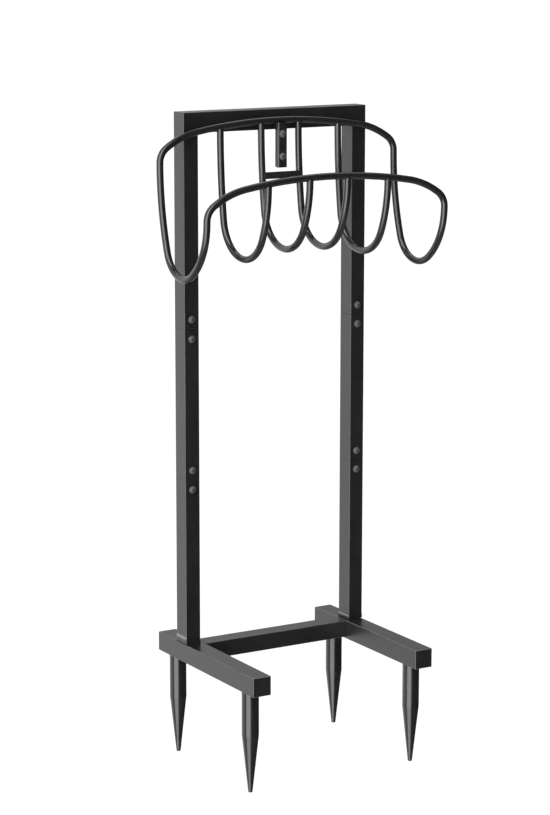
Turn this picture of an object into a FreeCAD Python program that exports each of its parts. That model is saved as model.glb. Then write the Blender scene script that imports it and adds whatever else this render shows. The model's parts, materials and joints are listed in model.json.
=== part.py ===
import FreeCAD, Part
import Sketcher
import math
import os
import re

# Garden hose stand: a knock-down frame of rectangular steel tube on two spiked foot bars,
# with a basket of bent round rod bolted to the front of its top bar.
# Frame of the model: +Z up, the front of the stand faces -Y, the right-hand post is at +X.
# The origin lies on the ground plane of the spike tips, midway between the four foot-bar ends.

# Driving dimensions in millimetres
SIZES = {
    # tube frame
    "frame_width": 363.0,
    "post_width": 28.0,
    "post_depth": 35.0,
    "tube_wall": 1.5,
    "tube_corner": 1.0,
    "lower_post_length": 295.0,
    "middle_post_length": 264.0,
    "upper_post_length": 370.0,
    "top_bar_height": 35.0,
    # foot bars, their end caps and the bar between them
    "foot_width": 34.4,
    "foot_inset": 1.5,
    "foot_height": 33.5,
    "foot_length": 337.0,
    "foot_lead": 231.0,
    "crossbar_depth": 34.0,
    "crossbar_height": 30.0,
    "crossbar_lead": 4.0,
    "cap_flange": 2.5,
    "cap_plug_length": 14.0,
    "cap_wall": 2.0,
    "cap_clearance": 0.2,
    # ground spikes and the nuts that hold them
    "spike_diameter": 29.5,
    "spike_shaft": 78.0,
    "spike_cone": 102.5,
    "spike_tip_diameter": 7.3,
    "spike_inset": 40.0,
    "stud_diameter": 10.0,
    "stud_length": 12.0,
    "spike_nut_width": 16.0,
    "spike_nut_height": 8.0,
    # splices between the post sections
    "sleeve_length": 110.0,
    "sleeve_wall": 1.5,
    "sleeve_clearance": 0.3,
    "screw_spacing": 34.0,
    "screw_diameter": 8.0,
    "screw_length": 12.0,
    "screw_head_diameter": 13.0,
    "screw_head_height": 4.4,
    "screw_socket_width": 5.0,
    "screw_socket_depth": 2.6,
    "nut_width": 13.0,
    "nut_height": 6.5,
    "hole_clearance": 0.4,
    # basket of round rod
    "rod_diameter": 12.0,
    "basket_width": 466.0,
    "basket_depth": 161.5,
    "basket_standoff": 11.5,
    "rail_drop": 18.0,
    "front_rail_drop": 82.5,
    "rail_crown_radius": 950.0,
    "rail_crown_span": 320.0,
    "rail_shoulder_radius": 146.0,
    "rail_corner_radius": 30.0,
    "end_loop_drop": 250.0,
    "outer_loop_drop": 224.0,
    "inner_loop_drop": 211.5,
    "outer_loop_span": 234.0,
    "inner_loop_span": 74.0,
    "loop_setback": 79.0,
    "loop_bottom_radius": 69.0,
    "end_loop_bottom_radius": 58.0,
    # fixing of the basket on the top bar
    "hanger_gap": 1.0,
    "hanger_pad_width": 8.0,
    "plate_width": 18.0,
    "plate_thickness": 8.0,
    "plate_lead": 10.6,
    "plate_drop": 81.0,
    "plate_lap": 4.0,
    "bolt_drop": 23.5,
    "bolt_spacing": 38.5,
    "bolt_diameter": 6.0,
    "bolt_length": 19.0,
    "bolt_head_diameter": 13.0,
    "bolt_head_height": 3.6,
    "bolt_socket_width": 4.0,
    "bolt_socket_depth": 2.0,
    # flat strip that ties the two inner rear legs
    "strip_drop": 94.0,
    "strip_height": 12.0,
    "strip_thickness": 4.0,
    "weld_gap": 0.1,
    # eased edges
    "seam_chamfer": 0.4,
    "cap_round": 0.8,
    "spike_tip_round": 2.2,
    "plate_edge_round": 2.5,
    "strip_edge_round": 1.0,
}

# Places worked out from the driving dimensions
FOOT_BOTTOM = "(spike_cone + spike_shaft)"
FOOT_TOP = "(spike_cone + spike_shaft + foot_height)"
POST_FRONT = "(foot_lead - foot_length / 2)"
POST_X = "(frame_width / 2 - post_width / 2)"
FOOT_X = "(frame_width / 2 - foot_inset - foot_width / 2)"
LOWER_SEAM = f"({FOOT_TOP} + lower_post_length)"
UPPER_SEAM = f"({LOWER_SEAM} + middle_post_length)"
FRAME_TOP = f"({UPPER_SEAM} + upper_post_length)"
SPIKE_Y = "(foot_length / 2 - spike_inset)"
RAIL_Y = f"({POST_FRONT} - basket_standoff)"
RAIL_Z = f"({FRAME_TOP} - rail_drop)"
SHOULDER_SHARE = "(1 - rail_shoulder_radius / rail_crown_radius)"
SHOULDER_X = f"({SHOULDER_SHARE} * rail_crown_span / 2)"
SHOULDER_Z = (f"({SHOULDER_SHARE} * sqrt(rail_crown_radius * rail_crown_radius"
              " - rail_crown_span * rail_crown_span / 4) - rail_crown_radius)")
CORNER_X = "(basket_width / 2 - rail_corner_radius)"
CORNER_REACH = "(rail_shoulder_radius - rail_corner_radius)"
RAIL_END_Z = (f"({SHOULDER_Z} + sqrt({CORNER_REACH} * {CORNER_REACH}"
              f" - ({CORNER_X} - {SHOULDER_X}) * ({CORNER_X} - {SHOULDER_X})))")

# Share of its volume by which a swept rod may differ from section times length
ROD_TOLERANCE = 0.01
# How far from its stated level a flat end may lie, in millimetres
FLAT_TOLERANCE = 0.001

SIDES = (("left", -1), ("right", 1))
ENDS = (("front", -1), ("rear", 1))

doc = FreeCAD.newDocument("hose_stand")
sheet = doc.addObject("Spreadsheet::Sheet", "Sizes")
for row, (alias, number) in enumerate(SIZES.items(), start=1):
    sheet.set(f"A{row}", alias)
    sheet.set(f"B{row}", str(number))
    sheet.setAlias(f"B{row}", alias)
probe = doc.addObject("App::FeaturePython", "Probe")
probe.addProperty("App::PropertyFloat", "Number")
doc.recompute()

nodes = {}


def bound(formula):
    """The formula with every driving dimension written as a cell of the sheet."""
    return re.sub(r"[a-z]\w*", lambda m: f"Sizes.{m[0]}" if m[0] in SIZES else m[0], str(formula))


def value(formula):
    """The number that a formula of the driving dimensions comes to."""
    probe.setExpression("Number", bound(formula))
    probe.recompute()
    return probe.Number


def bind(feature, name, formula):
    feature.setExpression(name, bound(formula))


def place(feature, x="0", y="0", z="0", turn_x=0):
    """Sets a piece at a place of the frame, turned about the X axis."""
    feature.Placement = FreeCAD.Placement(
        FreeCAD.Vector(), FreeCAD.Rotation(FreeCAD.Vector(1, 0, 0), turn_x))
    bind(feature, "Placement.Base.x", x)
    bind(feature, "Placement.Base.y", y)
    bind(feature, "Placement.Base.z", z)


def new_body(name):
    body = doc.addObject("PartDesign::Body", name)
    body.Label = name
    return body


def new_sketch(body, name, plane, lift="0"):
    """A sketch on one of the body's own planes, lifted along the plane's normal."""
    sketch = body.newObject("Sketcher::SketchObject", name)
    origin = [item for item in body.Origin.OriginFeatures if item.Role == plane]
    sketch.AttachmentSupport = (origin[0], "")
    sketch.MapMode = "FlatFace"
    bind(sketch, "AttachmentOffset.Base.z", lift)
    return sketch


def drive(sketch, kind, refs, formula):
    """Adds a dimension to the sketch and ties it to the sheet."""
    index = sketch.addConstraint(Sketcher.Constraint(kind, *refs, value(formula)))
    bind(sketch, f"Constraints[{index}]", formula)


def pin_point(sketch, geo, pos, x, y):
    """Holds one point of the sketch at a place measured from the sketch's origin."""
    drive(sketch, "DistanceX", (-1, 1, geo, pos), x)
    drive(sketch, "DistanceY", (-1, 1, geo, pos), y)


def join_points(sketch, first, first_end, second, second_end):
    sketch.addConstraint(Sketcher.Constraint("Coincident", first, first_end, second, second_end))


def join_smoothly(sketch, first, first_end, second, second_end):
    sketch.addConstraint(Sketcher.Constraint("Tangent", first, first_end, second, second_end))


def add_polygon(sketch, points):
    """A closed outline of straight lines through points given as formulas."""
    spots = [FreeCAD.Vector(value(x), value(y), 0) for x, y in points]
    count = len(spots)
    lines = []
    for i in range(count):
        edge = Part.LineSegment(spots[i], spots[(i + 1) % count])
        lines.append(sketch.addGeometry(edge, False))
    for i in range(count):
        join_points(sketch, lines[i], 2, lines[(i + 1) % count], 1)
    for line, (x, y) in zip(lines, points):
        pin_point(sketch, line, 1, x, y)


def add_rectangle(sketch, left, bottom, right, top):
    add_polygon(sketch, ((left, bottom), (right, bottom), (right, top), (left, top)))


def add_circle(sketch, x, y, radius):
    centre = FreeCAD.Vector(value(x), value(y), 0)
    circle = sketch.addGeometry(Part.Circle(centre, FreeCAD.Vector(0, 0, 1), value(radius)), False)
    drive(sketch, "Radius", (circle,), radius)
    pin_point(sketch, circle, 3, x, y)


def add_arc(sketch, centre, radius, start, end):
    circle = Part.Circle(FreeCAD.Vector(*centre, 0), FreeCAD.Vector(0, 0, 1), radius)
    return sketch.addGeometry(Part.ArcOfCircle(circle, start, end), False)


def add_rounded_rectangle(sketch, width, height, radius):
    """A rectangle with round corners, centred on the sketch's origin."""
    half_width, half_height, round_size = value(width) / 2, value(height) / 2, value(radius)
    inner_x, inner_y = half_width - round_size, half_height - round_size
    lines = []
    arcs = []
    centres = ((inner_x, inner_y), (-inner_x, inner_y), (-inner_x, -inner_y), (inner_x, -inner_y))
    for turn, centre in enumerate(centres):
        across, along = (half_height, inner_x) if turn % 2 else (half_width, inner_y)
        rotate = FreeCAD.Rotation(FreeCAD.Vector(0, 0, 1), 90 * turn)
        start = rotate.multVec(FreeCAD.Vector(across, -along, 0))
        end = rotate.multVec(FreeCAD.Vector(across, along, 0))
        lines.append(sketch.addGeometry(Part.LineSegment(start, end), False))
        angle = turn * math.pi / 2
        arcs.append(add_arc(sketch, centre, round_size, angle, angle + math.pi / 2))
    for turn in range(4):
        join_smoothly(sketch, lines[turn], 2, arcs[turn], 1)
        join_smoothly(sketch, arcs[turn], 2, lines[(turn + 1) % 4], 1)
        sketch.addConstraint(Sketcher.Constraint("Horizontal" if turn % 2 else "Vertical", lines[turn]))
    for turn in range(1, 4):
        sketch.addConstraint(Sketcher.Constraint("Equal", arcs[0], arcs[turn]))
    sketch.addConstraint(Sketcher.Constraint("Symmetric", arcs[0], 3, arcs[2], 3, -1, 1))
    drive(sketch, "Radius", (arcs[0],), radius)
    drive(sketch, "DistanceX", (lines[2], 1, lines[0], 2), width)
    drive(sketch, "DistanceY", (lines[3], 1, lines[1], 2), height)


def add_hexagon(sketch, width):
    """A regular hexagon of the given width across its flats, centred on the sketch's origin."""
    reach = value(width) / math.sqrt(3)
    circle = sketch.addGeometry(Part.Circle(FreeCAD.Vector(), FreeCAD.Vector(0, 0, 1), reach), True)
    join_points(sketch, circle, 3, -1, 1)
    lines = []
    for k in range(6):
        start, end = k * math.pi / 3, (k + 1) * math.pi / 3
        edge = Part.LineSegment(
            FreeCAD.Vector(reach * math.cos(start), reach * math.sin(start), 0),
            FreeCAD.Vector(reach * math.cos(end), reach * math.sin(end), 0))
        lines.append(sketch.addGeometry(edge, False))
    for k in range(6):
        join_points(sketch, lines[k], 2, lines[(k + 1) % 6], 1)
        sketch.addConstraint(Sketcher.Constraint("PointOnObject", lines[k], 1, circle))
    for k in range(1, 6):
        sketch.addConstraint(Sketcher.Constraint("Equal", lines[0], lines[k]))
    sketch.addConstraint(Sketcher.Constraint("PointOnObject", lines[0], 1, -1))
    drive(sketch, "Radius", (circle,), f"{width} / sqrt(3)")


def pad(body, sketch, length, symmetric=False, reverse=False):
    feature = body.newObject("PartDesign::Pad", f"{sketch.Name}_pad")
    feature.Profile = sketch
    feature.SideType = "Symmetric" if symmetric else "One side"
    feature.Reversed = reverse
    bind(feature, "Length", length)
    doc.recompute()
    return feature


def pocket(body, sketch, length, symmetric=False, reverse=False):
    """Cuts a sketch into the body and makes sure that the cut met some of it."""
    before = body.Shape.Volume
    feature = body.newObject("PartDesign::Pocket", f"{sketch.Name}_pocket")
    feature.Profile = sketch
    feature.SideType = "Symmetric" if symmetric else "One side"
    feature.Reversed = reverse
    bind(feature, "Length", length)
    doc.recompute()
    if not body.Shape.Volume < before:
        raise RuntimeError(f"{sketch.Name} cuts nothing from {body.Label}")
    return feature


def revolve(body, sketch):
    feature = body.newObject("PartDesign::Revolution", f"{sketch.Name}_turn")
    feature.Profile = sketch
    feature.ReferenceAxis = (sketch, ["V_Axis"])
    feature.Angle = 360
    doc.recompute()
    return feature


def tube(name, plane, width, height, length, symmetric):
    """A rectangular tube with round corners, drawn in the given plane and pulled along its normal."""
    body = new_body(name)
    section = new_sketch(body, f"{name}_section", plane)
    add_rounded_rectangle(section, width, height, "tube_corner")
    pad(body, section, length, symmetric)
    bore = new_sketch(body, f"{name}_bore", plane)
    add_rounded_rectangle(
        bore, f"({width} - 2 * tube_wall)", f"({height} - 2 * tube_wall)", "(tube_corner / 2)")
    pocket(body, bore, f"2 * {length}", symmetric=True)
    return body


def end_face(body, axis, level):
    """Name of the flat face that closes the body at a level of one of its axes."""
    reach = {"y": ("YMin", "YMax"), "z": ("ZMin", "ZMax")}[axis]
    for index, face in enumerate(body.Shape.Faces, start=1):
        sides = [getattr(face.BoundBox, end) for end in reach]
        if max(abs(side - value(level)) for side in sides) < FLAT_TOLERANCE:
            return f"Face{index}"
    raise RuntimeError(f"{body.Label} has no flat face at {axis} = {level}")


def ease_face(body, kind, size_name, axis, level, size):
    """Chamfers or rounds every edge of one flat end of the body."""
    count = len(body.Group)
    face = end_face(body, axis, level)
    base = body.Tip
    feature = body.newObject(f"PartDesign::{kind}", f"{body.Name}_eased_{count}")
    feature.Base = (base, [face])
    bind(feature, size_name, size)
    doc.recompute()


def front_holes(body, heights, diameter, depth):
    """Round holes through the front wall only, at the given heights on the centre line."""
    sketch = new_sketch(body, f"{body.Name}_holes", "XZ_Plane")
    for height in heights:
        add_circle(sketch, "0", height, f"({diameter} + hole_clearance) / 2")
    pocket(body, sketch, depth, reverse=True)


# Post sections: three tubes on each side, the upper ones mitred to the top bar
def post_section(name, side, length, hole_heights, seam_ends, base):
    body = tube(name, "XY_Plane", "post_width", "post_depth", length, False)
    front_holes(body, hole_heights, "screw_diameter", "post_depth")
    for level in seam_ends:
        ease_face(body, "Chamfer", "Size", "z", level, "seam_chamfer")
    place(body, f"{side} * {POST_X}", f"{POST_FRONT} + post_depth / 2", base)
    return body


def make_posts():
    near_seam = "screw_spacing / 2"
    for word, side in SIDES:
        nodes[f"lower_post_{word}"] = post_section(
            f"lower_post_{word}", side, "lower_post_length",
            [f"lower_post_length - {near_seam}"], ["lower_post_length"], FOOT_TOP)
        nodes[f"middle_post_{word}"] = post_section(
            f"middle_post_{word}", side, "middle_post_length",
            [near_seam, f"middle_post_length - {near_seam}"], ["0", "middle_post_length"], LOWER_SEAM)
        upper = post_section(
            f"upper_post_{word}", side, "upper_post_length", [near_seam], ["0"], UPPER_SEAM)
        mitre = new_sketch(upper, f"upper_post_{word}_mitre", "XZ_Plane")
        outer, inner = f"{side} * post_width / 2", f"{-side} * post_width / 2"
        shoulder = "upper_post_length - top_bar_height"
        add_polygon(mitre, ((outer, "upper_post_length"), (inner, "upper_post_length"), (inner, shoulder)))
        pocket(upper, mitre, "2 * post_depth", symmetric=True)
        nodes[f"upper_post_{word}"] = upper


def make_top_bar():
    body = tube("top_bar", "YZ_Plane", "post_depth", "top_bar_height", "frame_width", True)
    mitre = new_sketch(body, "top_bar_mitre", "XZ_Plane")
    for _, side in SIDES:
        outer = f"{side} * frame_width / 2"
        inner = f"{side} * (frame_width / 2 - post_width)"
        top, bottom = "top_bar_height / 2", "-top_bar_height / 2"
        add_polygon(mitre, ((outer, top), (inner, bottom), (outer, bottom)))
    pocket(body, mitre, "2 * post_depth", symmetric=True)
    place(body, "0", f"{POST_FRONT} + post_depth / 2", f"{FRAME_TOP} - top_bar_height / 2")
    nodes["top_bar"] = body


# Splices: a sleeve inside each seam, drawn against the front wall by two screws and two captive nuts
def make_sleeves():
    shrink = "2 * (tube_wall + sleeve_clearance)"
    width, depth = f"(post_width - {shrink})", f"(post_depth - {shrink})"
    for level, seam in (("lower", LOWER_SEAM), ("upper", UPPER_SEAM)):
        for word, side in SIDES:
            name = f"{level}_splice_sleeve_{word}"
            body = new_body(name)
            section = new_sketch(body, f"{name}_section", "XY_Plane")
            add_rectangle(section, f"-{width} / 2", f"-{depth} / 2", f"{width} / 2", f"{depth} / 2")
            pad(body, section, "sleeve_length", symmetric=True)
            bore = new_sketch(body, f"{name}_bore", "XY_Plane")
            bore_x, bore_y = f"({width} / 2 - sleeve_wall)", f"({depth} / 2 - sleeve_wall)"
            add_rectangle(bore, f"-{bore_x}", f"-{bore_y}", bore_x, bore_y)
            pocket(body, bore, "2 * sleeve_length", symmetric=True)
            front_holes(body, ["-screw_spacing / 2", "screw_spacing / 2"], "screw_diameter", "post_depth")
            place(body, f"{side} * {POST_X}", f"{POST_FRONT} + post_depth / 2 - sleeve_clearance", seam)
            nodes[name] = body


def button_screw(name, diameter, length, head_diameter, head_height, socket_width, socket_depth):
    """A domed screw with a hexagon socket; its head sits on the plane z = 0 and points up."""
    body = new_body(name)
    outline = new_sketch(body, f"{name}_outline", "XZ_Plane")
    head_radius, rise = value(head_diameter) / 2, value(head_height)
    dome = (head_radius ** 2 + rise ** 2) / (2 * rise)
    shank, bottom = value(diameter) / 2, -value(length)
    cap = add_arc(outline, (0, rise - dome), dome, math.asin((dome - rise) / dome), math.pi / 2)
    corners = ((0, rise), (0, bottom), (shank, bottom), (shank, 0), (head_radius, 0))
    spots = [FreeCAD.Vector(x, z, 0) for x, z in corners]
    lines = [outline.addGeometry(Part.LineSegment(spots[i], spots[i + 1]), False) for i in range(4)]
    join_points(outline, cap, 2, lines[0], 1)
    for i in range(3):
        join_points(outline, lines[i], 2, lines[i + 1], 1)
    join_points(outline, lines[3], 2, cap, 1)
    outline.addConstraint(Sketcher.Constraint("PointOnObject", cap, 3, -2))
    pin_point(outline, lines[0], 1, "0", head_height)
    pin_point(outline, lines[1], 1, "0", f"-{length}")
    pin_point(outline, lines[2], 1, f"{diameter} / 2", f"-{length}")
    pin_point(outline, lines[3], 1, f"{diameter} / 2", "0")
    pin_point(outline, lines[3], 2, f"{head_diameter} / 2", "0")
    revolve(body, outline)
    socket = new_sketch(body, f"{name}_socket", "XY_Plane", head_height)
    add_hexagon(socket, socket_width)
    pocket(body, socket, socket_depth)
    return body


def hex_nut(name, width, height, bore):
    """A hexagon nut that stands on the plane z = 0, its bore a running fit on the thread."""
    body = new_body(name)
    outline = new_sketch(body, f"{name}_outline", "XY_Plane")
    add_hexagon(outline, width)
    add_circle(outline, "0", "0", f"({bore} + hole_clearance / 2) / 2")
    pad(body, outline, height)
    return body


def group(name, pattern, places):
    """One node of identical separate pieces, each a link to the same pattern piece."""
    links = []
    for index, (x, y, z, turn_x) in enumerate(places, start=1):
        link = doc.addObject("App::Link", f"{name}_{index}")
        link.LinkedObject = pattern
        place(link, x, y, z, turn_x)
        links.append(link)
    compound = doc.addObject("Part::Compound", name)
    compound.Label = name
    compound.Links = links
    nodes[name] = compound


def make_splice_fasteners():
    screw = button_screw(
        "splice_screw", "screw_diameter", "screw_length", "screw_head_diameter", "screw_head_height",
        "screw_socket_width", "screw_socket_depth")
    nut = hex_nut("splice_nut", "nut_width", "nut_height", "screw_diameter")
    nut_face = f"{POST_FRONT} + tube_wall + sleeve_wall"
    screw_places = []
    nut_places = []
    for seam in (LOWER_SEAM, UPPER_SEAM):
        for _, side in SIDES:
            for step in (-1, 1):
                x, z = f"{side} * {POST_X}", f"{seam} + {step} * screw_spacing / 2"
                screw_places.append((x, POST_FRONT, z, 90))
                nut_places.append((x, nut_face, z, -90))
    group("splice_screws", screw, screw_places)
    group("splice_nuts", nut, nut_places)


# Base: two foot bars, capped at both ends, with a bar welded between them
def make_feet():
    tube_length = "(foot_length - 2 * cap_flange)"
    for word, side in SIDES:
        body = tube(f"foot_bar_{word}", "XZ_Plane", "foot_width", "foot_height", tube_length, True)
        holes = new_sketch(body, f"foot_bar_{word}_stud_holes", "XY_Plane")
        for _, end in ENDS:
            add_circle(holes, "0", f"{end} * {SPIKE_Y}", "(stud_diameter + hole_clearance) / 2")
        pocket(body, holes, "foot_height")
        place(body, f"{side} * {FOOT_X}", "0", f"{FOOT_BOTTOM} + foot_height / 2")
        nodes[f"foot_bar_{word}"] = body


def make_foot_caps():
    shrink = "2 * (tube_wall + cap_clearance)"
    plug_width, plug_height = f"(foot_width - {shrink})", f"(foot_height - {shrink})"
    for end_word, end in ENDS:
        for word, side in SIDES:
            name = f"foot_cap_{end_word}_{word}"
            body = new_body(name)
            flange = new_sketch(body, f"{name}_flange", "XZ_Plane")
            add_rounded_rectangle(flange, "foot_width", "foot_height", "tube_corner")
            pad(body, flange, "cap_flange", reverse=end > 0)
            plug = new_sketch(body, f"{name}_plug", "XZ_Plane")
            add_rectangle(
                plug, f"-{plug_width} / 2", f"-{plug_height} / 2", f"{plug_width} / 2", f"{plug_height} / 2")
            pad(body, plug, "cap_plug_length", reverse=end < 0)
            hollow = new_sketch(body, f"{name}_hollow", "XZ_Plane")
            hollow_x, hollow_z = f"({plug_width} / 2 - cap_wall)", f"({plug_height} / 2 - cap_wall)"
            add_rectangle(hollow, f"-{hollow_x}", f"-{hollow_z}", hollow_x, hollow_z)
            pocket(body, hollow, "cap_plug_length", reverse=end > 0)
            ease_face(body, "Fillet", "Radius", "y", f"{end} * cap_flange", "cap_round")
            place(body, f"{side} * {FOOT_X}", f"{end} * (foot_length / 2 - cap_flange)",
                  f"{FOOT_BOTTOM} + foot_height / 2")
            nodes[name] = body


def make_crossbar():
    length = f"(2 * {FOOT_X} - foot_width)"
    body = tube("base_crossbar", "YZ_Plane", "crossbar_depth", "crossbar_height", length, True)
    middle_y = f"{POST_FRONT} - crossbar_lead + crossbar_depth / 2"
    place(body, "0", middle_y, f"{FOOT_TOP} - crossbar_height / 2")
    nodes["base_crossbar"] = body


# Ground spikes: turned steel with a threaded stud that screws into a nut inside the foot bar
def make_spikes():
    shoulder = "(spike_cone + spike_shaft)"
    for end_word, end in ENDS:
        for word, side in SIDES:
            name = f"spike_{end_word}_{word}"
            body = new_body(name)
            outline = new_sketch(body, f"{name}_outline", "XZ_Plane")
            add_polygon(outline, (
                ("0", "0"),
                ("spike_tip_diameter / 2", "0"),
                ("spike_diameter / 2", "spike_cone"),
                ("spike_diameter / 2", shoulder),
                ("stud_diameter / 2", shoulder),
                ("stud_diameter / 2", f"{shoulder} + stud_length"),
                ("0", f"{shoulder} + stud_length"),
            ))
            revolve(body, outline)
            ease_face(body, "Fillet", "Radius", "z", "0", "spike_tip_round")
            place(body, f"{side} * {FOOT_X}", f"{end} * {SPIKE_Y}", "0")
            nodes[name] = body
    nut = hex_nut("spike_nut", "spike_nut_width", "spike_nut_height", "stud_diameter")
    group("spike_nuts", nut, [
        (f"{side} * {FOOT_X}", f"{end} * {SPIKE_Y}", f"{FOOT_BOTTOM} + tube_wall", 0)
        for _, end in ENDS for _, side in SIDES])


# Basket rods: every rod is a round bar swept along tangent arcs
def sweep_rod(body, path, profile_x, profile_y, profile_lift):
    """Sweeps the rod's round section along the path and compares the volume with section times length."""
    profile = new_sketch(body, f"{body.Name}_section", "XY_Plane", profile_lift)
    add_circle(profile, profile_x, profile_y, "rod_diameter / 2")
    doc.recompute()
    pipe = body.newObject("PartDesign::AdditivePipe", f"{body.Name}_rod")
    pipe.Profile = profile
    pipe.Spine = path
    doc.recompute()
    expected = path.Shape.Length * math.pi * value("rod_diameter") ** 2 / 4
    if abs(body.Shape.Volume - expected) > ROD_TOLERANCE * expected:
        raise RuntimeError(f"{body.Label} is not a plain rod along its path")


def rail_fall(span):
    """How far a rail has fallen below its crown where a pair of loops meets it."""
    return f"(rail_crown_radius - sqrt(rail_crown_radius * rail_crown_radius - {span} * {span} / 4))"


def make_rail(name, y, z):
    """An arch of crown, shoulders and corners that meets the end loops; its crown is at the origin."""
    body = new_body(name)
    path = new_sketch(body, f"{name}_path", "XZ_Plane")
    crown_radius, shoulder_radius = value("rail_crown_radius"), value("rail_shoulder_radius")
    corner_radius = value("rail_corner_radius")
    shoulder_x, shoulder_z = value(SHOULDER_X), value(SHOULDER_Z)
    corner_x, end_z = value(CORNER_X), value(RAIL_END_Z)
    crown_lean = math.asin(value("rail_crown_span") / 2 / crown_radius)
    shoulder_lean = math.asin((corner_x - shoulder_x) / (shoulder_radius - corner_radius))
    up = math.pi / 2
    left_corner = add_arc(path, (-corner_x, end_z), corner_radius, up + shoulder_lean, math.pi)
    left_shoulder = add_arc(
        path, (-shoulder_x, shoulder_z), shoulder_radius, up + crown_lean, up + shoulder_lean)
    crown = add_arc(path, (0, -crown_radius), crown_radius, up - crown_lean, up + crown_lean)
    right_shoulder = add_arc(
        path, (shoulder_x, shoulder_z), shoulder_radius, up - shoulder_lean, up - crown_lean)
    right_corner = add_arc(path, (corner_x, end_z), corner_radius, 0, up - shoulder_lean)
    join_smoothly(path, left_corner, 1, left_shoulder, 2)
    join_smoothly(path, left_shoulder, 1, crown, 2)
    join_smoothly(path, crown, 1, right_shoulder, 2)
    join_smoothly(path, right_shoulder, 1, right_corner, 2)
    pin_point(path, crown, 3, "0", "-rail_crown_radius")
    drive(path, "Radius", (crown,), "rail_crown_radius")
    drive(path, "Radius", (left_shoulder,), "rail_shoulder_radius")
    drive(path, "Radius", (left_corner,), "rail_corner_radius")
    path.addConstraint(Sketcher.Constraint("Equal", left_shoulder, right_shoulder))
    path.addConstraint(Sketcher.Constraint("Equal", left_corner, right_corner))
    path.addConstraint(Sketcher.Constraint("Horizontal", left_corner, 2, left_corner, 3))
    path.addConstraint(Sketcher.Constraint("Horizontal", right_corner, 1, right_corner, 3))
    drive(path, "DistanceX", (-1, 1, crown, 2), "-rail_crown_span / 2")
    drive(path, "DistanceX", (-1, 1, crown, 1), "rail_crown_span / 2")
    drive(path, "DistanceX", (-1, 1, left_corner, 2), "-basket_width / 2")
    drive(path, "DistanceX", (-1, 1, right_corner, 1), "basket_width / 2")
    sweep_rod(body, path, "-basket_width / 2", "0", RAIL_END_Z)
    place(body, "0", y, z)
    nodes[name] = body
    return body


def middle_rear_rise(kind):
    """Height of a middle loop's rear leg above its low point; the leg ends in the rail's lower half."""
    fall = rail_fall(f"{kind}_loop_span")
    return f"({kind}_loop_drop - {fall} - rod_diameter / 4)"


def middle_front_rise(kind):
    """Height of a middle loop's front leg above the loop's low point."""
    fall = rail_fall(f"{kind}_loop_span")
    return f"({kind}_loop_drop - front_rail_drop - {fall} - rod_diameter / 4)"


def flank_radius(bottom_radius, reach, rise):
    """Radius of the arc that leaves the bottom arc on a tangent and ends upright at the top of the leg."""
    over, up = f"({reach} - {bottom_radius})", f"({rise} - {bottom_radius})"
    return f"({bottom_radius} + ({up} * {up} + {over} * {over}) / (2 * {over}))"


def loop_rod(name, bottom_radius, rear_rise, front_rise):
    """A hanging loop of three tangent arcs; its rear leg is on the body's Z axis, its low point at z = 0."""
    body = new_body(name)
    path = new_sketch(body, f"{name}_path", "YZ_Plane")
    low, setback, depth = value(bottom_radius), value("loop_setback"), value("basket_depth")
    rear_top, front_top = value(rear_rise), value(front_rise)
    rear_flank = value(flank_radius(bottom_radius, "loop_setback", rear_rise))
    front_flank = value(flank_radius(bottom_radius, "(basket_depth - loop_setback)", front_rise))
    rear_swing = math.acos((rear_top - low) / (rear_flank - low))
    front_swing = math.acos((front_top - low) / (front_flank - low))
    down = -math.pi / 2
    bottom = add_arc(path, (-setback, low), low, down - front_swing, down + rear_swing)
    rear = add_arc(path, (-rear_flank, rear_top), rear_flank, down + rear_swing, 0)
    front = add_arc(path, (front_flank - depth, front_top), front_flank, math.pi, 1.5 * math.pi - front_swing)
    join_smoothly(path, rear, 1, bottom, 2)
    join_smoothly(path, bottom, 1, front, 2)
    drive(path, "Radius", (bottom,), bottom_radius)
    pin_point(path, bottom, 3, "-loop_setback", bottom_radius)
    pin_point(path, rear, 2, "0", rear_rise)
    pin_point(path, front, 1, "-basket_depth", front_rise)
    path.addConstraint(Sketcher.Constraint("Horizontal", rear, 2, rear, 3))
    path.addConstraint(Sketcher.Constraint("Horizontal", front, 1, front, 3))
    sweep_rod(body, path, "0", "0", rear_rise)
    return body


def make_basket_rods():
    rear_rail = make_rail("basket_rear_rail", RAIL_Y, RAIL_Z)
    front_rail = make_rail("basket_front_rail", f"{RAIL_Y} - basket_depth", f"{RAIL_Z} - front_rail_drop")
    rails = doc.addObject("Part::Compound", "basket_rails")
    rails.Links = [rear_rail, front_rail]

    for word, side in SIDES:
        name = f"basket_end_loop_{word}"
        body = loop_rod(
            name, "end_loop_bottom_radius", f"(end_loop_drop + {RAIL_END_Z})",
            f"(end_loop_drop - front_rail_drop + {RAIL_END_Z})")
        place(body, f"{side} * basket_width / 2", RAIL_Y, f"{RAIL_Z} - end_loop_drop")
        nodes[name] = body

    # The tops of the middle loops' legs are coped to fit round the rails
    for kind in ("outer", "inner"):
        for word, side in SIDES:
            name = f"basket_{kind}_loop_{word}"
            rod = loop_rod(
                f"{name}_rod", "loop_bottom_radius", middle_rear_rise(kind), middle_front_rise(kind))
            place(rod, f"{side} * {kind}_loop_span / 2", RAIL_Y, f"{RAIL_Z} - {kind}_loop_drop")
            coped = doc.addObject("Part::Cut", name)
            coped.Label = name
            coped.Base = rod
            coped.Tool = rails
            nodes[name] = coped
    return rear_rail


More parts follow.
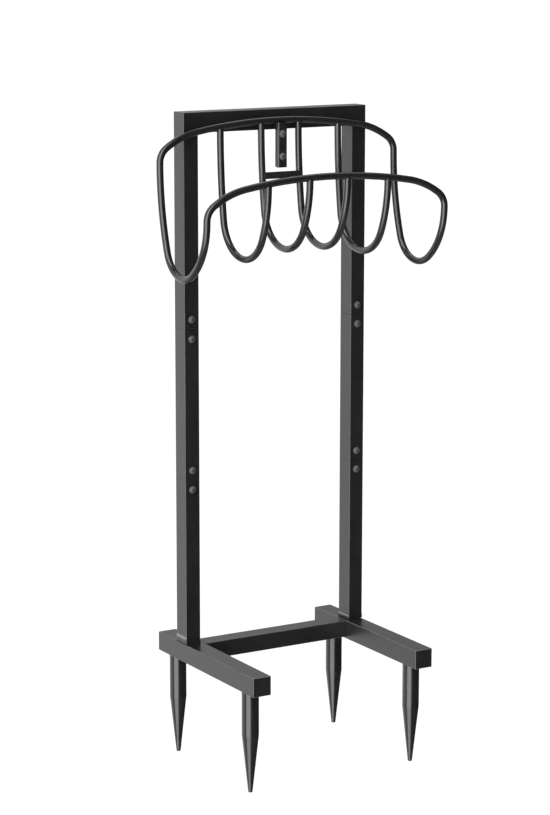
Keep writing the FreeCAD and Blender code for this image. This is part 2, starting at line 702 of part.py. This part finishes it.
# Basket fixing: a round bar welded to the top bar, and a plate welded to the rear rail and bolted to that bar
def make_basket_fixing(rear_rail):
    bolt_heights = ["-bolt_drop", "-bolt_drop - bolt_spacing"]
    plate_y = f"({RAIL_Y} - plate_lead + plate_thickness / 2)"
    hanger_y = f"({RAIL_Y} - plate_lead + plate_thickness + rod_diameter / 2)"
    hanger_top = "(rod_diameter / 2 + hanger_gap)"

    hanger = new_body("hanger_bar")
    section = new_sketch(hanger, "hanger_bar_section", "XY_Plane", "-plate_drop")
    add_circle(section, "0", "0", "rod_diameter / 2")
    pad(hanger, section, f"plate_drop - {hanger_top}")
    foot = new_sketch(hanger, "hanger_bar_pad", "XZ_Plane")
    add_rectangle(
        foot, "-hanger_pad_width / 2", "rail_drop - top_bar_height", "hanger_pad_width / 2", f"-{hanger_top}")
    pad(hanger, foot, f"{POST_FRONT} - {hanger_y}", reverse=True)
    taps = new_sketch(hanger, "hanger_bar_taps", "XZ_Plane")
    for height in bolt_heights:
        add_circle(taps, "0", height, "(bolt_diameter + hole_clearance / 2) / 2")
    pocket(hanger, taps, "2 * rod_diameter", symmetric=True)
    place(hanger, "0", hanger_y, RAIL_Z)
    nodes["hanger_bar"] = hanger

    blank = new_body("basket_plate_blank")
    section = new_sketch(blank, "basket_plate_section", "XY_Plane", "-plate_drop")
    add_rounded_rectangle(section, "plate_width", "plate_thickness", "plate_edge_round")
    pad(blank, section, "plate_drop - plate_lap")
    holes = new_sketch(blank, "basket_plate_holes", "XZ_Plane")
    for height in bolt_heights:
        add_circle(holes, "0", height, "(bolt_diameter + hole_clearance) / 2")
    pocket(blank, holes, "2 * plate_thickness", symmetric=True)
    place(blank, "0", plate_y, RAIL_Z)
    plate = doc.addObject("Part::Cut", "basket_plate")
    plate.Label = "basket_plate"
    plate.Base = blank
    plate.Tool = rear_rail
    nodes["basket_plate"] = plate

    bolt = button_screw(
        "basket_bolt", "bolt_diameter", "bolt_length", "bolt_head_diameter", "bolt_head_height",
        "bolt_socket_width", "bolt_socket_depth")
    group("basket_bolts", bolt, [
        ("0", f"{RAIL_Y} - plate_lead", f"{RAIL_Z} + ({height})", 90) for height in bolt_heights])


# Flat strip welded across the front of the two inner rear legs, leaning with them
def make_strip():
    flank = flank_radius("loop_bottom_radius", "loop_setback", middle_rear_rise("inner"))
    below_top = f"({middle_rear_rise('inner')} - inner_loop_drop + strip_drop)"
    upright = f"sqrt({flank} * {flank} - {below_top} * {below_top})"
    lean = math.degrees(math.asin(value(f"{below_top} / {flank}")))
    seat = "(rod_diameter / 2 + weld_gap + strip_thickness / 2)"
    body = new_body("basket_strip")
    section = new_sketch(body, "basket_strip_section", "YZ_Plane")
    add_rounded_rectangle(section, "strip_thickness", "strip_height", "strip_edge_round")
    pad(body, section, "inner_loop_span", symmetric=True)
    place(
        body, "0", f"{RAIL_Y} - {flank} + {upright} - {seat} * {upright} / {flank}",
        f"{RAIL_Z} - strip_drop + {seat} * {below_top} / {flank}", -lean)
    nodes["basket_strip"] = body


make_posts()
make_top_bar()
make_sleeves()
make_splice_fasteners()
make_feet()
make_foot_caps()
make_crossbar()
make_spikes()
make_basket_fixing(make_basket_rods())
make_strip()
doc.recompute()

# Every feature and every piece is sound before anything is written
for item in doc.Objects:
    if "Invalid" in item.State or "Error" in item.State:
        raise RuntimeError(f"{item.Label} failed: {item.State}")
for name, piece in nodes.items():
    if piece.Shape.isNull() or not piece.Shape.isValid():
        raise RuntimeError(f"{name} has no sound shape")
os.makedirs("parts", exist_ok=True)
for name, piece in nodes.items():
    piece.Shape.exportStep(f"parts/{name}.step")
    print(name, len(piece.Shape.Solids), round(piece.Shape.Volume), len(piece.Shape.Faces))
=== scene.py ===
import json
import math

import bmesh
import bpy
from mathutils import Matrix, Vector

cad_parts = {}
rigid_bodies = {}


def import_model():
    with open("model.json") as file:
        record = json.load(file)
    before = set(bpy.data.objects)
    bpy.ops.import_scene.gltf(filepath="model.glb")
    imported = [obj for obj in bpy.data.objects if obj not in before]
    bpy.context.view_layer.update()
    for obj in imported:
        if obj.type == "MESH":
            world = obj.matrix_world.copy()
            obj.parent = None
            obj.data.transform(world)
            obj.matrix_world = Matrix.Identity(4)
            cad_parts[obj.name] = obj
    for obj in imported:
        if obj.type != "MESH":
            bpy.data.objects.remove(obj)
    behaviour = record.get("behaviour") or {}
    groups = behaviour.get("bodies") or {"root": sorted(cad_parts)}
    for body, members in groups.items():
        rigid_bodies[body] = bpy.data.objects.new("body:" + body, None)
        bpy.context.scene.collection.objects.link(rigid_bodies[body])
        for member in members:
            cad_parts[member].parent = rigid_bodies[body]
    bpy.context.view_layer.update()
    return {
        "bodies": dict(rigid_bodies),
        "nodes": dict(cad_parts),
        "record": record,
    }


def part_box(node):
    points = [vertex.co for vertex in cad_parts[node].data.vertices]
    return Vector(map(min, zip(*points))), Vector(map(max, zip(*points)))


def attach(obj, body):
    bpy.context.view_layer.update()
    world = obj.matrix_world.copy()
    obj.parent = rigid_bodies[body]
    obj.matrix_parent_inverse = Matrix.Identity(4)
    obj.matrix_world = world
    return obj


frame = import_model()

nodes = frame["nodes"]

# Anything that a new Blender file brings with it is cleared away
kept = set(nodes.values()) | set(frame["bodies"].values())
for thing in list(bpy.data.objects):
    if thing not in kept:
        bpy.data.objects.remove(thing)


# Node trees
class NodeTree:
    """The nodes of a material or of the studio's light, added one by one."""

    def __init__(self, owner):
        owner.use_nodes = True
        self.tree = owner.node_tree
        self.tree.nodes.clear()

    def give(self, socket, given):
        """Links a socket to another node's output, or sets it to a number, a direction or a colour."""
        if isinstance(given, bpy.types.NodeSocket):
            self.tree.links.new(given, socket)
        else:
            socket.default_value = given

    def add(self, kind, **sockets):
        """Adds a node with its sockets given; a space in a socket's name is written as an underscore."""
        node = self.tree.nodes.new(kind)
        for key, given in sockets.items():
            self.give(node.inputs[key.replace("_", " ")], given)
        return node

    def arithmetic(self, kind, how, values):
        """Adds a node that does one sum, and gives its outputs."""
        node = self.tree.nodes.new(kind)
        node.operation = how
        for socket, given in zip(node.inputs, values):
            self.give(socket, given)
        return node.outputs

    def figure(self, how, *values):
        """A sum on numbers."""
        return self.arithmetic("ShaderNodeMath", how, values)["Value"]

    def direction(self, how, *values):
        """A sum on directions that gives a direction."""
        return self.arithmetic("ShaderNodeVectorMath", how, values)["Vector"]

    def agreement(self, first, second):
        """One where two directions are the same, nought where they are square to each other."""
        return self.arithmetic("ShaderNodeVectorMath", "DOT_PRODUCT", (first, second))["Value"]

    def along_axes(self, direction):
        """The parts of a direction along X, Y and Z."""
        return self.add("ShaderNodeSeparateXYZ", Vector=direction).outputs

    def between(self, value, ends, results=(0.0, 1.0), ease="LINEAR"):
        """Maps a value from its ends to the results, held at both ends; the results may be values too."""
        node = self.add(
            "ShaderNodeMapRange", Value=value,
            From_Min=ends[0], From_Max=ends[1], To_Min=results[0], To_Max=results[1])
        node.interpolation_type = ease
        return node.outputs["Result"]

    def seen_by_camera(self):
        """One for what the camera sees directly, nought for what lights the stand or is mirrored in it."""
        return self.add("ShaderNodeLightPath").outputs["Is Camera Ray"]

    def lay_over(self, share, under, over):
        """One shader laid over another with a share of its own."""
        node = self.add("ShaderNodeMixShader", Fac=share)
        for socket, given in zip(node.inputs[1:], (under, over)):
            self.give(socket, given)
        return node.outputs["Shader"]


# What the finishes share; their patterns are in lumps to the metre and their reliefs in metres
NOISE_ROUGHNESS = 0.55
LITTLE_DETAIL, SOME_DETAIL, MUCH_DETAIL = 2.0, 3.0, 4.0
WIDE_NOISE = (0.3, 0.7)
NARROW_NOISE = (0.35, 0.65)
SOFT_RELIEF = 0.5
EDGE_TURN = (0.06, 0.3)
RIM_TURN = (0.985, 0.86)
RIM_SAMPLES = 6
# Occlusion that places painted shade in holes
HOLE_SHADE_OPEN = (0.85, 0.35)
HOLE_SHADE_SAMPLES = 8


class Finish(NodeTree):
    """A material around one Principled shader, with patterns that lie still on the piece."""

    def __init__(self, name, **constants):
        self.material = bpy.data.materials.new(name)
        super().__init__(self.material)
        self.shader = self.add("ShaderNodeBsdfPrincipled", **constants)
        self.add("ShaderNodeOutputMaterial", Surface=self.shader.outputs["BSDF"])
        coordinates = self.add("ShaderNodeTexCoord")
        self.place = coordinates.outputs["Object"]
        self.facing = coordinates.outputs["Normal"]

    def complete(self, colour, roughness, relief):
        """Sends the three patterns to the shader and gives the finished material."""
        for key, given in (("Base Color", colour), ("Roughness", roughness), ("Normal", relief)):
            self.give(self.shader.inputs[key], given)
        return self.material

    def grain(self, lumps, detail=SOME_DETAIL, place=None):
        """Noise with so many lumps to the metre."""
        node = self.add(
            "ShaderNodeTexNoise", Vector=place or self.place,
            Scale=lumps, Detail=detail, Roughness=NOISE_ROUGHNESS)
        return node.outputs["Fac"]

    def blend(self, share, first, second):
        """A colour between two others."""
        node = self.tree.nodes.new("ShaderNodeMix")
        node.data_type = "RGBA"
        self.give(node.inputs["Factor"], share)
        colours = [socket for socket in node.inputs if socket.type == "RGBA"]
        for socket, given in zip(colours, (first, second)):
            self.give(socket, (*given, 1.0) if isinstance(given, tuple) else given)
        return next(socket for socket in node.outputs if socket.type == "RGBA")

    def rims(self, reach):
        """One on the sharp edges of the piece, fading to nought within the reach."""
        softened = self.add("ShaderNodeBevel", Radius=reach)
        softened.samples = RIM_SAMPLES
        sharp = self.add("ShaderNodeNewGeometry").outputs["Normal"]
        return self.between(self.agreement(softened.outputs["Normal"], sharp), RIM_TURN)

    def rounded_edges(self, *turns):
        """One on the rounded edges of a square piece, nought on its flats; a turn is a pair of axes."""
        along = self.along_axes(self.direction("ABSOLUTE", self.facing))
        turned = 0.0
        for first, second in turns:
            turned = self.figure("MAXIMUM", self.figure("MULTIPLY", along[first], along[second]), turned)
        return self.between(turned, EDGE_TURN)

    def hole_shade(self, reach):
        """One deep in a hole of about the given reach, nought out in the open; it places painted shade."""
        hole = self.add("ShaderNodeAmbientOcclusion", Distance=reach)
        hole.only_local = True
        hole.samples = HOLE_SHADE_SAMPLES
        return self.between(hole.outputs["AO"], HOLE_SHADE_OPEN)

    def relief(self, height, depth, strength=1.0):
        """A bump of so many metres."""
        return self.add("ShaderNodeBump", Height=height, Distance=depth, Strength=strength).outputs["Normal"]


# Places where the coat is paler: rubbed on the rods and the spike tips, rubbed and with a painted edge
# highlight on rounded edges
HOSE_SIDE = (0.4, 1.0)
TIP_SOIL_HEIGHT = 0.025


def upright_edges(coat):
    """The posts are rubbed and carry a painted edge highlight along their upright edges, but not where two
    sections meet.
    """
    return coat.rounded_edges("XY")


def level_edges(coat):
    """The bars that lie level are rubbed and carry a painted edge highlight along their rounded edges."""
    return coat.rounded_edges("XZ", "YZ")


def all_edges(coat):
    """Small pieces are rubbed and carry a painted edge highlight along all their rounded edges."""
    return coat.rounded_edges("XY", "XZ", "YZ")


def upper_side(coat):
    """The rods are rubbed a little on top, where the hose lies."""
    return coat.between(coat.along_axes(coat.facing)["Z"], HOSE_SIDE)


def spike_tips(coat):
    """The spikes are rubbed at their tips, where they go into the soil."""
    return coat.between(coat.along_axes(coat.place)["Z"], (TIP_SOIL_HEIGHT, 0.0))


# Black powder coat
COAT_GLOSS = 0.5
COAT_IOR = 1.5
BLACK_COAT = (0.0075, 0.0075, 0.0078)
CLOUDED_COAT = (0.011, 0.011, 0.0113)
# Pale of rubbed places; on rounded edges it is also a painted edge highlight
RUBBED_AND_HIGHLIT_COAT = (0.12, 0.12, 0.122)
COAT_CLOUDS = 26.0
COAT_SPECKS = 420.0
COAT_PEEL = 1500.0
SPECK_SHEEN = (-0.02, 0.02)
PALE_PATCHES = 60.0
PALE_PATCH_NOISE = (0.36, 0.62)
LEAST_PALE = 0.4
TUBE_SHEEN = (0.30, 0.36)
TUBE_PEEL = 0.00001
SMOOTH_PEEL = 0.000004


def clouded_coat(coat):
    """The clouds in the black coat, and its colour with them."""
    clouds = coat.grain(COAT_CLOUDS, detail=MUCH_DETAIL)
    return clouds, coat.blend(coat.between(clouds, WIDE_NOISE), BLACK_COAT, CLOUDED_COAT)


def orange_peel(coat, depth):
    """The fine waves in the surface of the coat."""
    return coat.relief(coat.grain(COAT_PEEL, detail=LITTLE_DETAIL), depth)


def powder_coat(name, sheen, peel_depth, rubbed_and_highlit_place, rubbed_and_highlit_share, gloss=COAT_GLOSS):
    """Black powder coat: fine orange peel, cloudy sheen, and paler where it is rubbed; on rounded edges the
    pale is also a painted edge highlight.
    """
    coat = Finish(name, Specular_IOR_Level=gloss, IOR=COAT_IOR)
    clouds, body = clouded_coat(coat)
    patches = coat.between(coat.grain(PALE_PATCHES), PALE_PATCH_NOISE, (LEAST_PALE * rubbed_and_highlit_share, rubbed_and_highlit_share))
    colour = coat.blend(coat.figure("MULTIPLY", rubbed_and_highlit_place(coat), patches), body, RUBBED_AND_HIGHLIT_COAT)
    specks = coat.between(coat.grain(COAT_SPECKS, detail=LITTLE_DETAIL), NARROW_NOISE, SPECK_SHEEN)
    roughness = coat.figure("ADD", coat.between(clouds, WIDE_NOISE, sheen), specks)
    return coat.complete(colour, roughness, orange_peel(coat, peel_depth))


# Coat of the weld beads, placed by shares of a bead's height, which the beads carry as an attribute; the
# pale crest is a painted highlight and the dark toe is painted shade
BEAD_SHARE = "share_of_bead_height"
PAINTED_CREST_HIGHLIGHT = (0.165, 0.165, 0.168)
PAINTED_TOE_SHADE = (0.004, 0.004, 0.004)
CREST_START, CREST_LINE, CREST_END = 0.52, 0.78, 1.0
CREST_LUMPS = 300.0
CREST_UNEVEN = (0.75, 1.0)
TOE_MIDDLE = 0.13
TOE_FADE = (0.091, 0.049)
TOE_DULLNESS = 0.6


def weld_bead_coat(name):
    """The same coat on a weld bead, with a painted highlight along the crest, and painted shade in the toe,
    which is duller too.
    """
    coat = Finish(name, Specular_IOR_Level=COAT_GLOSS, IOR=COAT_IOR)
    carried = coat.add("ShaderNodeAttribute")
    carried.attribute_name = BEAD_SHARE
    up = carried.outputs["Fac"]
    clouds, body = clouded_coat(coat)
    rising = coat.between(up, (CREST_START, CREST_LINE))
    falling = coat.between(up, (CREST_END, CREST_LINE))
    uneven = coat.between(coat.grain(CREST_LUMPS), NARROW_NOISE, CREST_UNEVEN)
    crest_highlight = coat.figure("MULTIPLY", coat.figure("MULTIPLY", rising, falling), uneven)
    toe = coat.between(coat.figure("ABSOLUTE", coat.figure("SUBTRACT", up, TOE_MIDDLE)), TOE_FADE)
    # The pale crest is a painted highlight, the near-black toe painted shade in the crease
    colour = coat.blend(toe, coat.blend(crest_highlight, body, PAINTED_CREST_HIGHLIGHT), PAINTED_TOE_SHADE)
    sheen = coat.between(clouds, WIDE_NOISE, TUBE_SHEEN)
    roughness = coat.figure("ADD", sheen, coat.figure("MULTIPLY", toe, TOE_DULLNESS))
    return coat.complete(colour, roughness, orange_peel(coat, TUBE_PEEL))


# Plastic of the foot caps
PLASTIC_GLOSS = 0.3
PLASTIC_IOR = 1.49
BLACK_PLASTIC = (0.007, 0.007, 0.0073)
CLOUDED_PLASTIC = (0.0092, 0.0092, 0.0096)
RUBBED_AND_HIGHLIT_PLASTIC = (0.13, 0.13, 0.132)
PLASTIC_CLOUDS = 40.0
PLASTIC_GRAIN = 2600.0
PLASTIC_ROUGHNESS = (0.46, 0.54)
PLASTIC_RELIEF = 0.00003


def moulded_plastic(name):
    """Matt black plastic with a fine moulded grain and paler edges, which are rubbed and carry a painted
    edge highlight.
    """
    plastic = Finish(name, Specular_IOR_Level=PLASTIC_GLOSS, IOR=PLASTIC_IOR)
    clouds = plastic.grain(PLASTIC_CLOUDS)
    grain = plastic.grain(PLASTIC_GRAIN, detail=LITTLE_DETAIL)
    body = plastic.blend(plastic.between(clouds, WIDE_NOISE), BLACK_PLASTIC, CLOUDED_PLASTIC)
    # Paler edges: rubbed, and a painted edge highlight
    colour = plastic.blend(all_edges(plastic), body, RUBBED_AND_HIGHLIT_PLASTIC)
    roughness = plastic.between(clouds, WIDE_NOISE, PLASTIC_ROUGHNESS)
    return plastic.complete(colour, roughness, plastic.relief(grain, PLASTIC_RELIEF, SOFT_RELIEF))


# Grey of the screws
FLAKE_GLOSS = 0.2
FLAKE_IOR = 1.5
DARK_FLAKE = (0.062, 0.062, 0.064)
PALE_FLAKE = (0.078, 0.078, 0.08)
RUBBED_FLAKE = (0.13, 0.13, 0.13)
PAINTED_SOCKET_SHADE = (0.03, 0.03, 0.031)
FLAKE_CLOUDS = 240.0
FLAKE_FLECKS = 3200.0
FLAKE_ROUGHNESS = (0.6, 0.72)
FLAKE_RELIEF = 0.00001
RUBBED_RIM = 0.0005
RIM_WEAR = 0.4
SOCKET_SHADE_REACH = 0.004


def zinc_flake(name):
    """Matt grey flake coat on the screws: even grey with a fine fleck, paler rims and painted shade in the
    sockets.
    """
    flake = Finish(name, Specular_IOR_Level=FLAKE_GLOSS, IOR=FLAKE_IOR)
    flecks = flake.grain(FLAKE_FLECKS, detail=LITTLE_DETAIL)
    body = flake.blend(flake.between(flake.grain(FLAKE_CLOUDS), NARROW_NOISE), DARK_FLAKE, PALE_FLAKE)
    worn = flake.blend(flake.figure("MULTIPLY", flake.rims(RUBBED_RIM), RIM_WEAR), body, RUBBED_FLAKE)
    # The sockets are darkened with painted shade
    colour = flake.blend(flake.hole_shade(SOCKET_SHADE_REACH), worn, PAINTED_SOCKET_SHADE)
    roughness = flake.between(flecks, NARROW_NOISE, FLAKE_ROUGHNESS)
    return flake.complete(colour, roughness, flake.relief(flecks, FLAKE_RELIEF, SOFT_RELIEF))


# Steel of the hidden sleeves and nuts
STEEL_STREAKS = 700.0
STREAK_STRETCH = (1.0, 1.0, 0.06)
STEEL_CLOUDS = 60.0
STREAK_AND_CLOUD_NOISE = (0.7, 1.3)
STEEL_RELIEF = 0.00002


def plain_steel(name, dark, pale, roughness):
    """Hidden steel: rolled or plated, with long streaks."""
    steel = Finish(name, Metallic=1.0)
    stretched = steel.add("ShaderNodeMapping", Vector=steel.place, Scale=STREAK_STRETCH).outputs["Vector"]
    streaks = steel.grain(STEEL_STREAKS, detail=MUCH_DETAIL, place=stretched)
    clouds = steel.grain(STEEL_CLOUDS)
    share = steel.between(steel.figure("ADD", streaks, clouds), STREAK_AND_CLOUD_NOISE)
    return steel.complete(
        steel.blend(share, dark, pale), steel.between(clouds, WIDE_NOISE, roughness),
        steel.relief(streaks, STEEL_RELIEF, SOFT_RELIEF))


# Finishes on the pieces
finishes = {
    "frame_coat": powder_coat(
        "frame_coat", sheen=TUBE_SHEEN, peel_depth=TUBE_PEEL, rubbed_and_highlit_place=level_edges, rubbed_and_highlit_share=0.5),
    "post_coat": powder_coat(
        "post_coat", sheen=TUBE_SHEEN, peel_depth=TUBE_PEEL, rubbed_and_highlit_place=upright_edges, rubbed_and_highlit_share=0.35),
    "weld_coat": weld_bead_coat("weld_coat"),
    "rod_coat": powder_coat(
        "rod_coat", sheen=(0.12, 0.16), peel_depth=SMOOTH_PEEL, rubbed_and_highlit_place=upper_side, rubbed_and_highlit_share=0.03),
    "flat_coat": powder_coat(
        "flat_coat", sheen=(0.32, 0.38), peel_depth=SMOOTH_PEEL, rubbed_and_highlit_place=all_edges, rubbed_and_highlit_share=0.1),
    "dull_coat": powder_coat(
        "dull_coat", sheen=(0.72, 0.80), peel_depth=TUBE_PEEL, rubbed_and_highlit_place=all_edges, rubbed_and_highlit_share=0.1, gloss=0.12),
    "spike_coat": powder_coat(
        "spike_coat", sheen=(0.18, 0.22), peel_depth=SMOOTH_PEEL, rubbed_and_highlit_place=spike_tips, rubbed_and_highlit_share=0.12),
    "cap_plastic": moulded_plastic("cap_plastic"),
    "screw_grey": zinc_flake("screw_grey"),
    "sleeve_steel": plain_steel(
        "sleeve_steel", dark=(0.36, 0.36, 0.37), pale=(0.48, 0.48, 0.49), roughness=(0.3, 0.45)),
    "nut_zinc": plain_steel(
        "nut_zinc", dark=(0.52, 0.52, 0.50), pale=(0.66, 0.66, 0.64), roughness=(0.25, 0.38)),
}
# These pieces have the coat of their slot, but with their own sheen, or their own pale edges, which are
# rubbed and carry a painted edge highlight
own_sheen_and_edges = {"basket_plate": "flat_coat", "basket_strip": "flat_coat", "hanger_bar": "dull_coat"}
for section in ("lower", "middle", "upper"):
    for hand in ("left", "right"):
        own_sheen_and_edges[f"{section}_post_{hand}"] = "post_coat"
for subpart in frame["record"]["subparts"]:
    mesh = nodes[subpart["node"]].data
    mesh.materials.clear()
    mesh.materials.append(finishes[own_sheen_and_edges.get(subpart["node"], subpart["material_slot"])])


# Weld beads between the posts and the foot bars
MERGE_DISTANCE = 0.00001
TALL_BEAD, LOW_BEAD = 0.0164, 0.0082
BEAD_LIFT = 0.0002
BEAD_THROW = 0.0009
BEAD_SUNK = 0.0003
BEAD_CROWN_TURN = 8.0
BEAD_TOE_NARROW, BEAD_TOE_RISE, BEAD_TOE_TURN = 0.4, 0.16, 3.5
BEAD_END_TURN = 12
BEAD_END_THROW = 0.3
BEAD_RIPPLES = 9
RIPPLE_SHARE = 0.12
BEAD_ROWS = 24
BEAD_STEPS = 48


def new_piece(name, shape, finish):
    """Turns a finished shape into a piece of the stand."""
    bmesh.ops.remove_doubles(shape, verts=shape.verts, dist=MERGE_DISTANCE)
    bmesh.ops.recalc_face_normals(shape, faces=shape.faces)
    mesh = bpy.data.meshes.new(name)
    shape.to_mesh(mesh)
    shape.free()
    mesh.shade_smooth()
    mesh.materials.append(finishes[finish])
    piece = bpy.data.objects.new(name, mesh)
    bpy.context.scene.collection.objects.link(piece)
    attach(piece, "root")


def bead_throw(up):
    """How far the bead stands off the post at a share of its height: narrow below, round on top."""
    toe = BEAD_TOE_NARROW * max(0.0, 1.0 - up / BEAD_TOE_RISE) ** BEAD_TOE_TURN
    return BEAD_THROW * (1.0 - up ** BEAD_CROWN_TURN - toe)


def bead_swell(along):
    """How much of that throw a place along the bead has: rippled, and slimmer towards the rounded ends."""
    rounded_end = (1.0 - abs(2.0 * along - 1.0) ** BEAD_END_TURN) ** 0.5
    ripple = 1.0 + RIPPLE_SHARE * math.cos(2.0 * math.pi * BEAD_RIPPLES * along)
    return (BEAD_END_THROW + (1.0 - BEAD_END_THROW) * rounded_end) * ripple


def foot_weld(name, post, side, tall):
    """A rippled bead along one side of a post, just above its foot bar."""
    low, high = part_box(post)
    wall = low.x if side < 0 else high.x
    foot = low.z + BEAD_LIFT
    start, length = low.y, high.y - low.y
    rows = [row / BEAD_ROWS for row in range(BEAD_ROWS + 1)]
    outline = [(wall + side * bead_throw(up), foot + tall * up) for up in rows]
    outline += [(wall - side * BEAD_SUNK, foot + tall), (wall - side * BEAD_SUNK, foot)]
    shape = bmesh.new()
    share = shape.verts.layers.float.new(BEAD_SHARE)
    section = shape.faces.new([shape.verts.new((x, start, z)) for x, z in outline])
    bmesh.ops.spin(
        shape, geom=[section, *section.edges, *section.verts], cent=(0.0, 0.0, 0.0), axis=(0.0, 0.0, 1.0),
        dvec=(0.0, length / BEAD_STEPS, 0.0), angle=0.0, steps=BEAD_STEPS)
    for corner in shape.verts:
        swell = bead_swell((corner.co.y - start) / length)
        corner.co.x = wall + (corner.co.x - wall) * swell
        corner[share] = (corner.co.z - foot) / tall
    new_piece(name, shape, "weld_coat")


# The bead on the outer side of the left post is laid higher than the others
for hand, place, side, tall in (
        ("left", "left_side", -1, TALL_BEAD), ("left", "right_side", 1, LOW_BEAD),
        ("right", "left_side", -1, LOW_BEAD), ("right", "right_side", 1, LOW_BEAD)):
    foot_weld(f"foot_weld_{hand}_post_{place}", f"lower_post_{hand}", side, tall)


# Studio light: a spread is in cosines of the angle to its side, the others in sines of the height
WHITE = (1.0, 1.0, 1.0, 1.0)
LEVEL_SHARE = (1.0, 1.0, 0.0)
TENT_SIDE = (-0.451, 0.893, 0.0)
TENT_SPREAD = (0.15, 1.0)
TENT_DIM, TENT_BRIGHT = 0.06, 1.36
TENT_FLOOR, TENT_FLOOR_FADE = 0.4, (-0.75, -0.35)
TENT_ROOF, TENT_ROOF_FADE = 0.25, (0.55, 0.92)
SOFTBOX_SIDE = (-0.820, -0.572, 0.0)
SOFTBOX_SPREAD = (0.788, 0.951)
SOFTBOX_BRIGHT = 5.8
SOFTBOX_FOOT, SOFTBOX_TOP = (-0.75, -0.45), (0.95, 0.995)
STRIP_SIDE = (0.517, 0.856, 0.0)
STRIP_SPREAD = (0.45, 0.75)
STRIP_BRIGHT = 2.3
STRIP_FOOT, STRIP_TOP = (0.70, 0.78), (0.92, 0.97)


def tent_brightness(light):
    """Brightness of a light tent that is white at the back left and dim at the front right.

    A tall softbox stands at the front left, and a strip high at the back right draws thin lines along the
    tops of the rods.
    """
    ray = light.add("ShaderNodeTexCoord").outputs["Generated"]
    compass = light.direction("NORMALIZE", light.direction("MULTIPLY", ray, LEVEL_SHARE))
    height = light.along_axes(ray)["Z"]

    def across(side, spread, away, towards):
        """A brightness that changes with the compass direction."""
        return light.between(light.agreement(compass, side), spread, (away, towards), ease="SMOOTHSTEP")

    def upwards(fade, below, above):
        """A brightness that changes with the height above the horizon."""
        return light.between(height, fade, (below, above), ease="SMOOTHSTEP")

    wall = across(TENT_SIDE, TENT_SPREAD, TENT_DIM, TENT_BRIGHT)
    tent = upwards(TENT_ROOF_FADE, upwards(TENT_FLOOR_FADE, TENT_FLOOR, wall), TENT_ROOF)
    softbox = across(SOFTBOX_SIDE, SOFTBOX_SPREAD, 0.0, SOFTBOX_BRIGHT)
    softbox = upwards(SOFTBOX_TOP, upwards(SOFTBOX_FOOT, 0.0, softbox), 0.0)
    strip = across(STRIP_SIDE, STRIP_SPREAD, 0.0, STRIP_BRIGHT)
    strip = upwards(STRIP_TOP, upwards(STRIP_FOOT, 0.0, strip), 0.0)
    return light.figure("MAXIMUM", tent, light.figure("MAXIMUM", softbox, strip))


world = bpy.data.worlds.new("studio")
bpy.context.scene.world = world
light = NodeTree(world)
tent = light.add("ShaderNodeBackground", Color=WHITE, Strength=tent_brightness(light))
backdrop = light.add("ShaderNodeBackground", Color=WHITE, Strength=1.0)
studio = light.lay_over(light.seen_by_camera(), tent.outputs["Background"], backdrop.outputs["Background"])
light.add("ShaderNodeOutputWorld", Surface=studio)

# Studio floor of white paper, which glows for the most part, while the rest takes the stand's shadow
FLOOR_SIZE = 90.0
MATT_PAPER = (0.86, 0.86, 0.86, 1.0)
PAPER_WHITE = 1.07
PAPER_GLOW = 0.90
floor_shape = bmesh.new()
bmesh.ops.create_grid(floor_shape, x_segments=2, y_segments=2, size=FLOOR_SIZE / 2)
floor_mesh = bpy.data.meshes.new("studio_floor")
floor_shape.to_mesh(floor_mesh)
floor_shape.free()
floor = bpy.data.objects.new("studio_floor", floor_mesh)
bpy.context.scene.collection.objects.link(floor)
# Reflections show the lower part of the tent instead of the paper
floor.visible_glossy = False
paper = bpy.data.materials.new("studio_paper")
sheet = NodeTree(paper)
matt = sheet.add("ShaderNodeBsdfDiffuse", Color=MATT_PAPER)
glow = sheet.add("ShaderNodeEmission", Strength=PAPER_WHITE)
glowing = sheet.figure("MULTIPLY", sheet.seen_by_camera(), PAPER_GLOW)
surface = sheet.lay_over(glowing, matt.outputs["BSDF"], glow.outputs["Emission"])
sheet.add("ShaderNodeOutputMaterial", Surface=surface)
floor_mesh.materials.append(paper)

# Camera, aimed beside a point between the posts' front faces
YAW, PITCH, ROLL = math.radians(31.167), math.radians(11.071), math.radians(0.180)
AIM_HEIGHT = 0.664
AIM_RIGHT, AIM_DOWN = 0.04943, 0.04956
CAMERA_DISTANCE = 4.58478
SENSOR_WIDTH = 36.0
FOCAL_LENGTH = 115.67
SHIFT_X, SHIFT_Y = -0.0360, 0.0050
FARTHEST_SEEN = 200.0
post_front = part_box("lower_post_left")[0].y
back = Vector((-math.sin(YAW) * math.cos(PITCH), -math.cos(YAW) * math.cos(PITCH), math.sin(PITCH)))
level = Vector((math.cos(YAW), -math.sin(YAW), 0.0))
rise = back.cross(level)
right = level * math.cos(ROLL) + rise * math.sin(ROLL)
up = rise * math.cos(ROLL) - level * math.sin(ROLL)
aim = Vector((0.0, post_front, AIM_HEIGHT)) + right * AIM_RIGHT - up * AIM_DOWN
eye = aim + back * CAMERA_DISTANCE
lens = bpy.data.cameras.new("camera")
lens.sensor_width = SENSOR_WIDTH
lens.lens = FOCAL_LENGTH
lens.shift_x = SHIFT_X
lens.shift_y = SHIFT_Y
lens.clip_end = FARTHEST_SEEN
camera = bpy.data.objects.new("camera", lens)
bpy.context.scene.collection.objects.link(camera)
camera.matrix_world = Matrix((
    (right.x, up.x, back.x, eye.x),
    (right.y, up.y, back.y, eye.y),
    (right.z, up.z, back.z, eye.z),
    (0.0, 0.0, 0.0, 1.0)))
bpy.context.scene.camera = camera
bpy.context.scene.view_settings.view_transform = "Standard"
